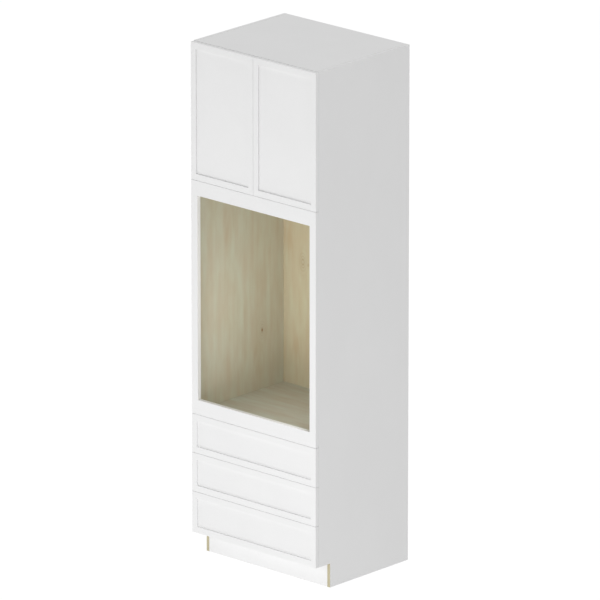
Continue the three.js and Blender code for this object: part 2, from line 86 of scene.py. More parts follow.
SIDE_LOW, SIDE_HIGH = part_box("right_side_panel")
INNER_FACE = SIDE_LOW.x  # inner face of a side panel, as a distance from the middle
OUTER_FACE = SIDE_HIGH.x
BOARD = OUTER_FACE - INNER_FACE
CASE_FRONT = SIDE_LOW.y
CASE_TOP = SIDE_HIGH.z
FRONTS_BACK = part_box("left_door_frame")[1].y  # back of the doors and drawer fronts

TOP_BOARDS = ("left_side_panel", "right_side_panel", "top_panel")  # reach the top of the case's front

# ---------------------------------------------------------------- places of the fittings

BUFFER_INSET = 3  # from a front's edge to the middle of a buffer, in radii of the buffer

CUP_SCREW_IN = 7.5 * MM  # from the middle of a cup towards the middle of the cabinet
CUP_SCREW_RISE = 23.5 * MM  # above and below the middle of the cup
PLATE_FACE = INNER_FACE - 2.8 * MM  # face of a hinge's plate, as a distance from the middle
PLATE_SCREW_BACK = 37 * MM  # from the case front
PLATE_SCREW_RISE = 21 * MM  # above and below the middle of the hinge
ARM_FACE = INNER_FACE - 15.5 * MM
ARM_SCREW_BACK = 16 * MM
LINK_STEPS = 16
LINK_START = (INNER_FACE - 9 * MM, 3 * MM)  # distance from the middle, and behind the arm's nose
LINK_END = (INNER_FACE - 7 * MM, -9.5 * MM)

FRONT_SCREW_OUT = 240 * MM  # from the middle of a drawer
FRONT_SCREW_RISE = 40 * MM  # of the lower screws above the box's lower edge
FRONT_SCREW_DROP = 28 * MM  # of the upper screws below its upper edge

FOOT_SCREW_PLACE = INNER_FACE - 17 * MM  # screws under a drawer's rail, as a distance from the middle
FOOT_DROP = 1.5 * MM  # from the box's lower edge down to the underside of the rail's foot
FOOT_SCREWS_ALONG = (0.06, 0.27, 0.49)  # from the front end of the rail
WEB_FACE = INNER_FACE - 1.5 * MM  # inner face of a case rail's web
WEB_SCREW_RISE = 8 * MM  # above the box's lower edge
WEB_SCREWS_ALONG = (0.037, 0.26, 0.485)
ROLLER_INSET = 14 * MM  # from the end of a rail to its roller's axle
CASE_AXLE_RISE = 4.9 * MM  # above the box's lower edge
DRAWER_AXLE_RISE = 4.1 * MM
ROLLER_REACH = 8.7 * MM  # holds all of a roller's faces, round its axle
ROLLER_SPAN = (1.8 * MM, 10.4 * MM)  # where a roller's faces lie, in from the side panel

# ---------------------------------------------------------------- veneer and plywood

LEAF_WIDTH = 180 * MM
LEAF_JOINT = 19.5 * MM  # place of one joint between two leaves
PLY_LAYERS = 9
DOVETAIL_PITCH = 26 * MM  # roughly, as a side holds a whole number of them
DOVETAIL_HALF = 9.2 * MM  # half the width of a tail at its end
DOVETAIL_SLOPE = 6  # a tail narrows by one in six on each side
DOVETAIL_BLUR = 0.1 * MM  # softness of its outline
SEAM = (0.5 * MM, 0.2 * MM)  # how far from a joint its shadow starts, and is full

# Swells to a metre, across the grain and along it
STREAK = (30, 0.8)
MOTTLE = (30, 7)
FIBRE = (520, 11)
FLECK = (900, 55)
WARMTH = (16, 4)

# Squares of half widths, across the grain and along it
KNOT_PULL = (0.0004, 0.0016)  # where a knot bends the grain
KNOT_EYE = (0.00002, 0.00009)
ARCH_FIELD = (0.002, 0.012)

KNOT_BEND = 0.6  # how far a knot pushes the grain aside
KNOT_RINGS = 30  # how closely its rings follow each other
ARCH_RINGS = 3.2  # rings of an arch to half a metre along the grain
ARCH_POINT = 420  # how sharply they bend
ARCH_WAVER = 1.2  # how far the streaks push them about

# ---------------------------------------------------------------- limits for the modelling

MERGE_DISTANCE = 0.01 * MM
SAME_PLACE = 0.05 * MM  # places closer than this count as one
FLAT_ANGLE = radians(1)  # triangles that meet flatter than this are one flat face
ROUND_ABOVE = radians(40)  # edges sharper than this are eased
SMOOTH_BELOW = radians(20)  # edges flatter than this are shaded smooth
FACING = 0.9  # how closely a face's normal follows a direction that it is said to face
ROUND_SIDES = 24  # of a screw's head or a buffer

# ---------------------------------------------------------------- places in the studio

FLOOR_RADIUS = 60
SENSOR_WIDTH = 36  # millimetres
CAMERA_RANGE = 400
CAMERA_PLACE = (29.2165, -31.7889, 14.8637)
CAMERA_BACK = (0.64528, -0.70209, 0.30112)  # direction from the cabinet to the camera

# Name and setting of each softbox, its width and height, its place and the point that it lights
SOFTBOXES = (
    ("front_softbox", "front_light", (3, 2), (0.7, -5.7, 1.95), (0, 0, 1.2)),
    ("low_softbox", "low_light", (2.4, 0.6), (0.6, -2.6, 0.3), (0, 0, 0.3)),
    ("top_softbox", "top_light", (3, 3), (0, 0, CASE_TOP + 7), (0, 0, CASE_TOP)),
    ("oven_fill", "oven_light", (0.36, 0.5), (0, -0.284, 1.1), (0, 0.6, 1.1)),
    ("jamb_fill", "jamb_light", (0.02, 0.84), (0.33, -0.305, 1.27), (-0.34, -0.295, 1.27)),
)


# ---------------------------------------------------------------- colours


def srgb(red, green, blue):
    """A colour given as 0 to 255 on a screen, as the linear numbers that a shader takes."""

    def linear(value):
        value /= 255
        return value / 12.92 if value <= 0.04045 else ((value + 0.055) / 1.055) ** 2.4

    return (linear(red), linear(green), linear(blue))


def darker(colour, share):
    return tuple(value * share for value in colour)


def tinted(colour, tints):
    """A colour with its red, green and blue each multiplied by a number of their own."""
    return tuple(value * tint for value, tint in zip(colour, tints))


# ---------------------------------------------------------------- settings


def colour_setting(name, description, default):
    return bpy.props.FloatVectorProperty(
        name=name,
        description=description,
        subtype="COLOR",
        size=3,
        min=0,
        max=1,
        default=default,
    )


def length_setting(name, description, default, high):
    return bpy.props.FloatProperty(
        name=name,
        description=description,
        unit="LENGTH",
        subtype="DISTANCE",
        min=0.05 * MM,
        max=high,
        default=default,
    )


def power_setting(name, description, default):
    return bpy.props.FloatProperty(
        name=name, description=description, min=0, subtype="POWER", default=default
    )


class CabinetFinishes(bpy.types.PropertyGroup):
    """Colours of the cabinet's materials."""

    lacquer: colour_setting("Lacquer", "Doors, drawer fronts and oven front", (0.85, 0.85, 0.85))
    laminate: colour_setting("Laminate", "Outside of the case", (0.85, 0.85, 0.85))
    maple_light: colour_setting("Maple light", "Pale streaks of the veneer", srgb(200, 204, 187))
    maple_dark: colour_setting("Maple dark", "Tan streaks of the veneer", srgb(188, 177, 152))
    birch_light: colour_setting("Birch light", "Pale leaves of the drawer boxes", srgb(236, 220, 184))
    birch_dark: colour_setting("Birch dark", "Tan leaves of the drawer boxes", srgb(214, 190, 146))
    glue_line: colour_setting("Glue lines", "Dark layers of a plywood edge", srgb(176, 146, 100))
    nickel: colour_setting("Nickel", "Hinges, shelf supports and screws", (0.66, 0.65, 0.62))
    cream: colour_setting("Runner cream", "Powder coat of the runners", srgb(232, 228, 214))
    nylon: colour_setting("Nylon", "Rollers and buffers", srgb(222, 222, 216))


class CabinetSizes(bpy.types.PropertyGroup):
    """Sizes of the details that are modelled over the frame."""

    front_easing: length_setting("Front easing", "Rounding of the lacquered edges", 0.4 * MM, 3 * MM)
    board_easing: length_setting("Board easing", "Rounding of the board edges", 0.3 * MM, 2 * MM)
    top_easing: length_setting("Top easing", "Rounding along the top of the case's front", 2.4 * MM, 2.6 * MM)
    metal_easing: length_setting("Metal easing", "Rounding of the metal edges", 0.2 * MM, 0.5 * MM)
    screw_radius: length_setting("Screw head radius", "Pan-head screws", 3.4 * MM, 6 * MM)
    screw_height: length_setting("Screw head height", "Pan-head screws", 1.3 * MM, 3 * MM)
    flush_height: length_setting("Flush head height", "Countersunk screws in the runners", 0.3 * MM, 1 * MM)
    link_width: length_setting("Link width", "Crank link of a hinge", 9 * MM, 11 * MM)
    link_thickness: length_setting("Link thickness", "Crank link of a hinge", 2.4 * MM, 4 * MM)
    buffer_radius: length_setting("Buffer radius", "Buffers behind the fronts", 3.4 * MM, 6 * MM)
    buffer_height: length_setting("Buffer height", "Buffers behind the fronts", 0.55 * MM, 0.65 * MM)


class CabinetStudio(bpy.types.PropertyGroup):
    """Light and camera of the studio."""

    sky: bpy.props.FloatProperty(name="Sky", description="Light from all round", min=0, default=0.42)
    floor_glow: bpy.props.FloatProperty(
        name="Floor glow", description="Light that the floor gives off", min=0, default=1
    )
    front_light: power_setting("Front light", "Softbox in front, in watts", 51)
    low_light: power_setting("Low light", "Softbox low in front, in watts", 11)
    top_light: power_setting("Top light", "Softbox high overhead, in watts", 198)
    oven_light: power_setting("Oven light", "Fill inside the opening, in watts", 0.68)
    jamb_light: power_setting("Jamb light", "Strip at the opening's right, in watts", 1.5)
    lens: bpy.props.FloatProperty(
        name="Lens", description="Focal length in millimetres", unit="CAMERA", min=1, default=601.66
    )


def colours():
    return bpy.context.scene.cabinet_finishes


def sizes():
    return bpy.context.scene.cabinet_sizes


# ---------------------------------------------------------------- shader expressions


class Value:
    """One output of a node, used as a number or colour in Python expressions."""

    def __init__(self, finish, socket):
        self.finish = finish
        self.socket = socket

    def __add__(self, other):
        return self.finish.math("ADD", self, other)

    __radd__ = __add__

    def __sub__(self, other):
        return self.finish.math("SUBTRACT", self, other)

    def __rsub__(self, other):
        return self.finish.math("SUBTRACT", other, self)

    def __mul__(self, other):
        return self.finish.math("MULTIPLY", self, other)

    __rmul__ = __mul__

    def __truediv__(self, other):
        return self.finish.math("DIVIDE", self, other)

    def __mod__(self, other):
        return self.finish.math("FLOORED_MODULO", self, other)

    def __abs__(self):
        return self.finish.math("ABSOLUTE", self, 0)

    def sine(self):
        return self.finish.math("SINE", self, 0)

    def rise(self, low, high):
        """0 up to low, 1 from high, and smooth in between; low may be the larger one."""
        return self.finish.add(
            "ShaderNodeMapRange",
            {"interpolation_type": "SMOOTHSTEP"},
            {"Value": self, "From Min": low, "From Max": high},
        )


class Finish:
    """A procedural material while it is made."""

    def __init__(self, name, roughness=0.5, metallic=0, **sockets):
        self.material = bpy.data.materials.new(name)
        self.material.use_nodes = True
        self.tree = self.material.node_tree
        self.shader = self.tree.nodes["Principled BSDF"]
        self.set(Roughness=roughness, Metallic=metallic, **sockets)

    def feed(self, socket, value):
        if isinstance(value, Value):
            self.tree.links.new(value.socket, socket)
        elif socket.type == "RGBA" and len(value) == 3:
            socket.default_value = (*value, 1)
        else:
            socket.default_value = value

    def set(self, **sockets):
        for socket, value in sockets.items():
            self.feed(self.shader.inputs[socket.replace("_", " ")], value)

    def add(self, kind, settings=None, inputs=None, output=0):
        """Adds a node with its settings, feeds its inputs and returns one of its outputs."""
        node = self.tree.nodes.new(kind)
        for name, setting in (settings or {}).items():
            setattr(node, name, setting)
        for key, value in (inputs or {}).items():
            self.feed(node.inputs[key], value)
        return Value(self, node.outputs[output])

    def math(self, operation, first, second):
        return self.add("ShaderNodeMath", {"operation": operation}, {0: first, 1: second})

    def place(self):
        """The x, y and z of a point in the cabinet's frame, in metres."""
        point = self.add("ShaderNodeTexCoord", output="Object")
        apart = self.add("ShaderNodeSeparateXYZ", None, {0: point})
        outputs = apart.socket.node.outputs
        return {axis: Value(self, outputs[axis.upper()]) for axis in "xyz"}

    def noise(self, first, second, third=0, detail=2, roughness=0.5):
        """Soft random numbers round 0.5, with about one swell for each unit of its three inputs."""
        vector = self.add("ShaderNodeCombineXYZ", None, {0: first, 1: second, 2: third})
        return self.add(
            "ShaderNodeTexNoise",
            None,
            {"Vector": vector, "Scale": 1, "Detail": detail, "Roughness": roughness},
        )

    def speckle(self, place, scale, detail=2, roughness=0.5):
        """Noise with scale swells to a metre in every direction."""
        swells = [place[axis] * scale for axis in "xyz"]
        return self.noise(*swells, detail=detail, roughness=roughness)

    def mix(self, factor, first, second):
        """A colour between two others."""
        return self.add(
            "ShaderNodeMix",
            {"data_type": "RGBA"},
            {"Factor": factor, 6: first, 7: second},
            output=2,
        )

    def relief(self, height, depth):
        """Raises the surface by height, where 1 stands for depth metres."""
        self.set(Normal=self.add("ShaderNodeBump", None, {"Height": height, "Distance": depth}))


# ---------------------------------------------------------------- finishes


@cache
def lacquer():
    """Sprayed satin lacquer: a very fine orange peel, and a sheen that varies slightly."""
    finish = Finish("satin_white_lacquer", IOR=1.45)
    place = finish.place()
    peel = finish.speckle(place, 420)
    cloud = finish.speckle(place, 5, detail=3)
    white = tuple(colours().lacquer)
    finish.set(
        Base_Color=finish.mix(cloud.rise(0.3, 0.7), darker(white, 0.985), white),
        Roughness=0.4 + 0.1 * cloud,
    )
    finish.relief(peel, 0.02 * MM)
    return finish.material


@cache
def laminate():
    """White laminate with a fine matt pore."""
    finish = Finish("white_laminate", IOR=1.45)
    place = finish.place()
    pore = finish.speckle(place, 900, detail=3, roughness=0.6)
    cloud = finish.noise(place["x"] * 4, place["y"] * 4, place["z"] * 2.5, detail=3)
    white = tuple(colours().laminate)
    finish.set(
        Base_Color=finish.mix(cloud.rise(0.3, 0.7), darker(white, 0.985), white),
        Roughness=0.5 + 0.12 * pore,
    )
    finish.relief(pore, 0.03 * MM)
    return finish.material


def oval(beside, above, reach):
    """0 at a place and 1 on an oval round it, whose squared half widths are given."""
    return beside * beside / reach[0] + above * above / reach[1]


def veneered(name, across, along, seed, light, dark, knots=(), arches=()):
    """Sliced veneer whose grain runs along one axis, laid in leaves of equal width. Knots are
    (across, along, depth of the eye, depth of its rings), and arches are (across, along) places
    where the cut runs out in pointed figures."""
    finish = Finish(name, IOR=1.45)
    place = finish.place()
    u, v = place[across], place[along]
    leaf = finish.math("FLOOR", (u - LEAF_JOINT) / LEAF_WIDTH, 0)
    core = 0
    for knot_u, knot_v, eye_depth, ring_depth in knots:
        beside, above = u - knot_u, v - knot_v
        near = finish.math("POWER", oval(beside, above, KNOT_PULL) + 1, -1)
        eye = oval(beside, above, KNOT_EYE).rise(1, 0.3)
        u = u - beside * near * KNOT_BEND
        rings = near * near * (0.5 + 0.5 * (near * KNOT_RINGS).sine())
        core = core + eye_depth * eye + ring_depth * rings

    def swells(pitch, third, **settings):
        """Noise stretched along the grain, whose third input sets it apart from the others."""
        return finish.noise(u * pitch[0], v * pitch[1], third, **settings)

    streak = swells(STREAK, leaf * 3.7 + seed, detail=3, roughness=0.55)
    mottle = swells(MOTTLE, leaf * 2.3 + seed + 7, detail=3)
    fibre = swells(FIBRE, seed + 13, detail=3, roughness=0.6)
    fleck = swells(FLECK, seed + 19, detail=1)
    figure = 0
    for arch_u, arch_v in arches:
        beside, above = u - arch_u, v - arch_v
        ring = above * ARCH_RINGS + beside * beside * ARCH_POINT + streak * ARCH_WAVER
        fade = oval(beside, above, ARCH_FIELD).rise(1, 0.1)
        figure = figure + fade * (0.5 + 0.5 * (ring * 4 * pi).sine())
    tone = streak * 0.5 + mottle * 0.45 + fibre * 0.12 + fleck.rise(0.6, 0.75) * 0.04
    tone = tone + 0.12 * finish.noise(leaf * 5.3, seed) + 0.14 * figure
    shade = finish.mix(tone.rise(0.28, 0.94), light, dark)
    warm = swells(WARMTH, seed + 31).rise(0.3, 0.7)
    blush = tinted(dark, (1.06, 0.98, 1.02))
    shade = finish.mix(0.35 * warm, shade, blush)
    if knots:
        heart = tinted(dark, (0.5, 0.28, 0.14))
        shade = finish.mix(core, shade, heart)
    finish.set(Base_Color=shade, Roughness=0.46 + 0.14 * fibre)
    finish.relief(fibre + 0.5 * streak, 0.05 * MM)
    return finish


def maple(name, across, along, seed, light_tint=(1, 1, 1), dark_tint=(1, 1, 1), knots=(), arches=()):
    light = tinted(colours().maple_light, light_tint)
    dark = tinted(colours().maple_dark, dark_tint)
    return veneered(name, across, along, seed, light, dark, knots, arches).material


def birch(name, across, along, seed):
    light, dark = tuple(colours().birch_light), tuple(colours().birch_dark)
    return veneered(name, across, along, seed, light, dark)


@cache
def maple_sides():
    """Upright veneer inside the side panels, with one small knot low in the oven compartment."""
    knots = ((0.142, 0.9755, 1, 0.35),)
    arches = ((-0.082, 1.52), (0.119, 0.838))
    return maple("maple_upright", "y", "z", 3.1, knots=knots, arches=arches)


@cache
def maple_back():
    """Upright veneer of the back panel, a little warmer and more figured."""
    tint = (1.0, 0.945, 0.84)
    knots = ((-0.245, 1.292, 0, 0.5), (-0.218, 1.283, 0.3, 0))
    arches = ((-0.287, 0.863), (-0.324, 1.38), (0.12, 1.2))
    return maple("maple_back", "x", "z", 11.7, tint, tint, knots, arches)


@cache
def maple_level():
    """Veneer of the level boards, with its grain from left to right, streakier than the sides."""
    return maple("maple_level", "y", "x", 23.3, (1, 1.05, 1.14), (0.92, 0.92, 0.98))


@cache
def maple_cross():
    """Veneer of narrow boards that lie from front to back."""
    return maple("maple_cross", "z", "y", 31.9)


@cache
def birch_bottom():
    """Bottoms of the drawer boxes."""
    return birch("birch_bottom", "y", "x", 47.1).material


@cache
def birch_ends():
    """Front and back boards of the drawer boxes, the back rails and the back of the toe board."""
    return birch("birch_ends", "z", "x", 53.7).material


def layered(finish, depth, thickness):
    """The colour of a plywood edge, from how far a point lies into the board."""
    tones = colours()
    pitch = thickness / PLY_LAYERS
    place = finish.place()
    wobble = finish.speckle(place, 60) - 0.5
    turn = ((depth + wobble * 0.25 * MM) / (2 * pitch)) % 1
    dark = abs(turn - 0.5).rise(0.31, 0.21)
    line = abs(turn % 0.5 - 0.25).rise(0.22, 0.25)
    fine = finish.speckle(place, 700)
    pale = tinted(tones.maple_light, (1, 0.98, 0.84))
    tan = tuple(0.5 * (glue + wood) for glue, wood in zip(tones.glue_line, tones.maple_dark))
    shade = finish.mix(dark * 0.75 + fine * 0.25, pale, tan)
    return finish.mix(line * 0.5, shade, tuple(tones.glue_line))


def plywood_edge(name, through, start, thickness):
    """Raw plywood edge whose layers are stacked along one axis from start, mirrored about 0."""
    finish = Finish(name, roughness=0.7)
    place = finish.place()
    depth = abs(place[through]) - start
    finish.set(Base_Color=layered(finish, depth, thickness))
    finish.relief(finish.speckle(place, 800), 0.08 * MM)
    return finish.material


@cache
def side_edge():
    """Raw edges of the side panels."""
    return plywood_edge("plywood_edge_of_sides", "x", INNER_FACE, BOARD)


@cache
def level_edge(node):
    """Edge of a board that lies level."""
    low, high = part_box(node)
    return plywood_edge(f"plywood_edge_of_{node}", "z", low.z, high.z - low.z)


@cache
def upright_edge(node):
    """Edge of a board that stands across the case."""
    low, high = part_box(node)
    start = min(abs(low.y), abs(high.y))
    return plywood_edge(f"plywood_edge_of_{node}", "y", start, high.y - low.y)


@cache
def box_side_edge():
    """Upper and lower edges of the drawer boxes' sides."""
    low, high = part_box("upper_drawer_right_side")
    return plywood_edge("birch_edge_of_sides", "x", low.x, high.x - low.x)


@cache
def box_end_edge(node):
    """Upper and lower edges of a drawer box's front or back board."""
    low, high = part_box(node)
    start = min(abs(low.y), abs(high.y))
    return plywood_edge(f"birch_edge_of_{node}", "y", start, high.y - low.y)


@cache
def box_side(word):
    """Birch side of a drawer box, with dovetails where the front and back boards come through, and painted
    shadow darkening the seams of the joints.
    """
    low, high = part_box(f"{word}_drawer_right_side")
    end_low, end_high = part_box(f"{word}_drawer_box_front")
    finish = birch(f"birch_side_of_{word}_drawer", "z", "y", 61.3)
    grain = Value(finish, finish.shader.inputs["Base Color"].links[0].from_socket)
    place = finish.place()
    middle, half = (low.y + high.y) / 2, (high.y - low.y) / 2
    depth = end_high.y - end_low.y
    inward = half - abs(place["y"] - middle)
    tails = round((high.z - low.z) / DOVETAIL_PITCH)
    pitch = (high.z - low.z) / tails
    offset = abs((place["z"] - low.z) % pitch - pitch / 2)
    tail_half = DOVETAIL_HALF - inward / DOVETAIL_SLOPE
    in_joint = inward.rise(depth + DOVETAIL_BLUR, depth)
    pin = (offset - tail_half).rise(-DOVETAIL_BLUR, DOVETAIL_BLUR) * in_joint
    seam = abs(offset - tail_half).rise(*SEAM) * in_joint
    shoulder = abs(inward - depth).rise(*SEAM)
    shade = finish.mix(pin, grain, layered(finish, inward, depth))
    # painted shade: the seam and shoulder lines are darkened as if shadowed in the crack of the joint
    edge = finish.math("MAXIMUM", seam, shoulder)
    painted_seam_shadow = darker(colours().birch_dark, 0.45)
    finish.set(Base_Color=finish.mix(0.45 * edge, shade, painted_seam_shadow))
    return finish.material


@cache
def nickel():
    """Nickel-plated steel with a drawn surface."""
    finish = Finish("nickel_plate", metallic=1, Base_Color=tuple(colours().nickel))
    place = finish.place()
    drawn = finish.noise(place["x"] * 300, place["y"] * 60, place["z"] * 2200, detail=3)
    finish.set(Roughness=0.2 + 0.22 * drawn)
    finish.relief(drawn, 0.01 * MM)
    return finish.material


@cache
def powder_coat():
    """Cream powder coat with its fine dimples."""
    finish = Finish("cream_powder_coat", IOR=1.5)
    place = finish.place()
    dimple = finish.speckle(place, 1100)
    cream = tuple(colours().cream)
    finish.set(
        Base_Color=finish.mix(dimple, darker(cream, 0.96), cream),
        Roughness=0.34 + 0.2 * dimple,
    )
    finish.relief(dimple, 0.03 * MM)
    return finish.material


@cache
def nylon():
    """Moulded nylon with a slight haze."""
    finish = Finish("moulded_nylon", IOR=1.5)
    place = finish.place()
    haze = finish.speckle(place, 500, detail=3)
    tone = tuple(colours().nylon)
    finish.set(Base_Color=finish.mix(haze, darker(tone, 0.93), tone), Roughness=0.4 + 0.2 * haze)
    finish.relief(haze, 0.02 * MM)
    return finish.material


@cache
def floor_finish(glow):
    """Plain pale floor that gives off part of its light."""
    finish = Finish("pale_floor", roughness=1, Specular_IOR_Level=0)
    place = finish.place()
    cloud = finish.noise(place["x"], place["y"], detail=2)
    finish.set(
        Base_Color=finish.mix(cloud, (0.039, 0.039, 0.039), (0.04, 0.04, 0.04)),
        Emission_Color=(1, 1, 1),
        Emission_Strength=glow,
    )
    return finish.material


# ---------------------------------------------------------------- modelling


def select_only(piece):
    bpy.ops.object.select_all(action="DESELECT")
    piece.select_set(True)
    bpy.context.view_layer.objects.active = piece


def apply_modifier(piece, kind, **settings):
    select_only(piece)
    modifier = piece.modifiers.new(kind.title(), kind)
    for name, setting in settings.items():
        setattr(modifier, name, setting)
    bpy.ops.object.modifier_apply(modifier=modifier.name)


def ease_edges(piece, width):
    """Rounds the sharp edges in two steps, which leaves the flat faces flat."""
    apply_modifier(piece, "BEVEL", width=width, segments=2, limit_method="ANGLE", angle_limit=ROUND_ABOVE)


def round_upper_front(piece):
    """Rounds the edge between the top and the front of the case."""
    bpy.ops.object.mode_set(mode="EDIT")
    bpy.ops.mesh.select_mode(type="EDGE")
    bpy.ops.mesh.select_all(action="DESELECT")
    bpy.ops.object.mode_set(mode="OBJECT")
    corner = Vector((CASE_FRONT, CASE_TOP))
    for edge in piece.data.edges:
        ends = [piece.data.vertices[index].co.yz for index in edge.vertices]
        edge.select = all((end - corner).length < SAME_PLACE for end in ends)
    bpy.ops.object.mode_set(mode="EDIT")
    bpy.ops.mesh.bevel(offset=sizes().top_easing, segments=5)
    bpy.ops.object.mode_set(mode="OBJECT")


def copy_of(node):
    """A copy of a node's mesh with its loose triangles joined into flat faces."""
    piece = bpy.data.objects.new(f"{node}_finished", frame["nodes"][node].data.copy())
    bpy.context.scene.collection.objects.link(piece)
    piece.data.materials.clear()
    select_only(piece)
    bpy.ops.object.mode_set(mode="EDIT")
    bpy.ops.mesh.select_all(action="SELECT")
    bpy.ops.mesh.customdata_custom_splitnormals_clear()
    bpy.ops.mesh.remove_doubles(threshold=MERGE_DISTANCE)
    bpy.ops.mesh.dissolve_limited(angle_limit=FLAT_ANGLE)
    bpy.ops.mesh.select_all(action="DESELECT")
    bpy.ops.object.mode_set(mode="OBJECT")
    return piece


def faces(axis, sign, at=None):
    """A test for faces that face along an axis and, if at is given, lie there."""
    number = "xyz".index(axis)

    def test(middle, normal):
        lies_there = at is None or abs(middle[number] - at) < SAME_PLACE
        return normal[number] * sign > FACING and lies_there

    return test


def paint(piece, base, *areas):
    """Gives all faces the base finish, and those that pass an area's test that area's finish."""
    piece.data.materials.append(base)
    for index, (finish, test) in enumerate(areas, start=1):
        piece.data.materials.append(finish)
        for face in piece.data.polygons:
            if test(face.center, face.normal):
                face.material_index = index


def complete(piece, body, slot, *nodes):
    """Smooths round faces, fixes the piece to its body and hides the nodes it stands for.

    The wide faces outweigh the narrow ones beside them, so that they stay flat.
    """
    select_only(piece)
    bpy.ops.object.shade_smooth_by_angle(angle=SMOOTH_BELOW)
    apply_modifier(piece, "WEIGHTED_NORMAL", keep_sharp=True)
    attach(piece, body)
    if nodes:
        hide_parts(*nodes)


def dress(node, easing, base, *areas):
    """Stands a copy with eased edges and painted faces in for a node."""
    piece = copy_of(node)
    paint(piece, base, *areas)
    if node in TOP_BOARDS:
        round_upper_front(piece)
    ease_edges(piece, easing)
    complete(piece, BODY_OF[node], SLOT_OF[node], node)


def joined(name, parts):
    """Parts joined into one piece."""
    select_only(parts[0])
    for part in parts[1:]:
        part.select_set(True)
    bpy.ops.object.join()
    piece = bpy.context.object
    piece.name = piece.data.name = name
    return piece


def stamped(master, places):
    """Copies of a master, each with its own mesh, turned so that its +Z follows a direction."""
    copies = []
    for point, direction in places:
        turn = Vector(direction).to_track_quat("Z", "Y").to_matrix().to_4x4()
        copy = bpy.data.objects.new(master.name, master.data.copy())
        copy.data.transform(Matrix.Translation(point) @ turn)
        bpy.context.scene.collection.objects.link(copy)
        copies.append(copy)
    return copies


def select_faces(piece, test):
    """Selects the faces that pass a test, and goes to face mode."""
    bpy.ops.object.mode_set(mode="EDIT")
    bpy.ops.mesh.select_mode(type="FACE")
    bpy.ops.mesh.select_all(action="DESELECT")
    bpy.ops.object.mode_set(mode="OBJECT")
    for face in piece.data.polygons:
        face.select = test(face.center, face.normal)
    bpy.ops.object.mode_set(mode="EDIT")


def screw_head(name, radius, height):
    """A domed screw head on z = 0, with a cross recess."""
    rim, crown = radius * 0.35, radius * 0.3  # widths of the dome's two steps
    rim_rise, crown_rise = height * 0.25, height * 0.08
    slot_width, slot_arm = radius * 0.28, radius * 0.42
    slot_middle, slot_height = height * 1.1, height * 1.2
    bpy.ops.object.select_all(action="DESELECT")
    bpy.ops.mesh.primitive_cylinder_add(
        vertices=ROUND_SIDES, radius=radius, depth=height, location=(0, 0, height / 2)
    )
    head = bpy.context.object
    head.name = name
    bpy.ops.object.transform_apply(location=True)
    select_faces(head, faces("z", 1))
    bpy.ops.mesh.inset(thickness=rim)
    bpy.ops.transform.translate(value=(0, 0, rim_rise))
    bpy.ops.mesh.inset(thickness=crown)
    bpy.ops.transform.translate(value=(0, 0, crown_rise))
    bpy.ops.object.mode_set(mode="OBJECT")
    bpy.ops.mesh.primitive_cube_add(size=slot_width, location=(0, 0, slot_middle))
    cutter = bpy.context.object
    bpy.ops.object.transform_apply(location=True)
    select_faces(cutter, lambda middle, normal: abs(normal.z) < 1 - FACING)
    bpy.ops.mesh.extrude_faces_move(TRANSFORM_OT_shrink_fatten={"value": slot_arm})
    bpy.ops.mesh.select_all(action="SELECT")
    stretch = (1, 1, slot_height / slot_width)
    bpy.ops.transform.resize(value=stretch, center_override=(0, 0, slot_middle))
    bpy.ops.object.mode_set(mode="OBJECT")
    apply_modifier(head, "BOOLEAN", operation="DIFFERENCE", object=cutter)
    bpy.data.objects.remove(cutter)
    return head


def screws(name, master, body, places):
    """One piece that holds all the screws of a fitting."""
    piece = joined(name, stamped(master, places))
    piece.data.materials.append(nickel())
    complete(piece, body, "nickel_steel")


# ---------------------------------------------------------------- case


class CABINET_OT_side_panels(bpy.types.Operator):
    """Side panels: laminate outside, maple inside, raw plywood at the toe notch and the bottom"""

    bl_idname = "cabinet.side_panels"
    bl_label = "Side panels"

    def execute(self, context):
        easing = sizes().board_easing
        for word, side in SIDES.items():
            dress(
                f"{word}_side_panel",
                easing,
                side_edge(),
                (laminate(), faces("x", side, side * OUTER_FACE)),
                (maple_sides(), faces("x", -side)),
                (laminate(), faces("y", -1, CASE_FRONT)),
                (laminate(), faces("z", 1, CASE_TOP)),
            )
        return {"FINISHED"}


class CABINET_OT_level_boards(bpy.types.Operator):
    """Top, bottom, oven deck, cupboard floor and shelf, with banded front edges"""

    bl_idname = "cabinet.level_boards"
    bl_label = "Level boards"

    def execute(self, context):
        easing = sizes().board_easing
        for node in ("bottom_panel", "oven_deck", "cupboard_floor", "adjustable_shelf", "top_panel"):
            over = laminate() if node == "top_panel" else maple_level()
            under = laminate() if node == "bottom_panel" else maple_level()
            band = maple_level() if node == "adjustable_shelf" else laminate()
            dress(
                node,
                easing,
                level_edge(node),
                (over, faces("z", 1)),
                (under, faces("z", -1)),
                (band, faces("y", -1)),
            )
        return {"FINISHED"}


class CABINET_OT_back(bpy.types.Operator):
    """Back panel, the rails behind it and the cleats under the oven deck"""

    bl_idname = "cabinet.back"
    bl_label = "Back"

    def execute(self, context):
        easing = sizes().board_easing
        dress(
            "back_panel",
            easing,
            upright_edge("back_panel"),
            (maple_back(), faces("y", -1)),
            (maple_back(), faces("y", 1)),
        )
        for node in ("upper_back_rail", "lower_back_rail"):
            dress(
                node,
                easing,
                upright_edge(node),
                (birch_ends(), faces("y", 1)),
                (birch_ends(), faces("y", -1)),
            )
        for word in SIDES:
            dress(f"{word}_deck_cleat", easing, maple_cross())
        return {"FINISHED"}


class CABINET_OT_toe_board(bpy.types.Operator):
    """White board at the back of the toe space"""

    bl_idname = "cabinet.toe_board"
    bl_label = "Toe board"

    def execute(self, context):
        node = "toe_kick_board"
        dress(
            node,
            sizes().board_easing,
            upright_edge(node),
            (laminate(), faces("y", -1)),
            (birch_ends(), faces("y", 1)),
        )
        return {"FINISHED"}


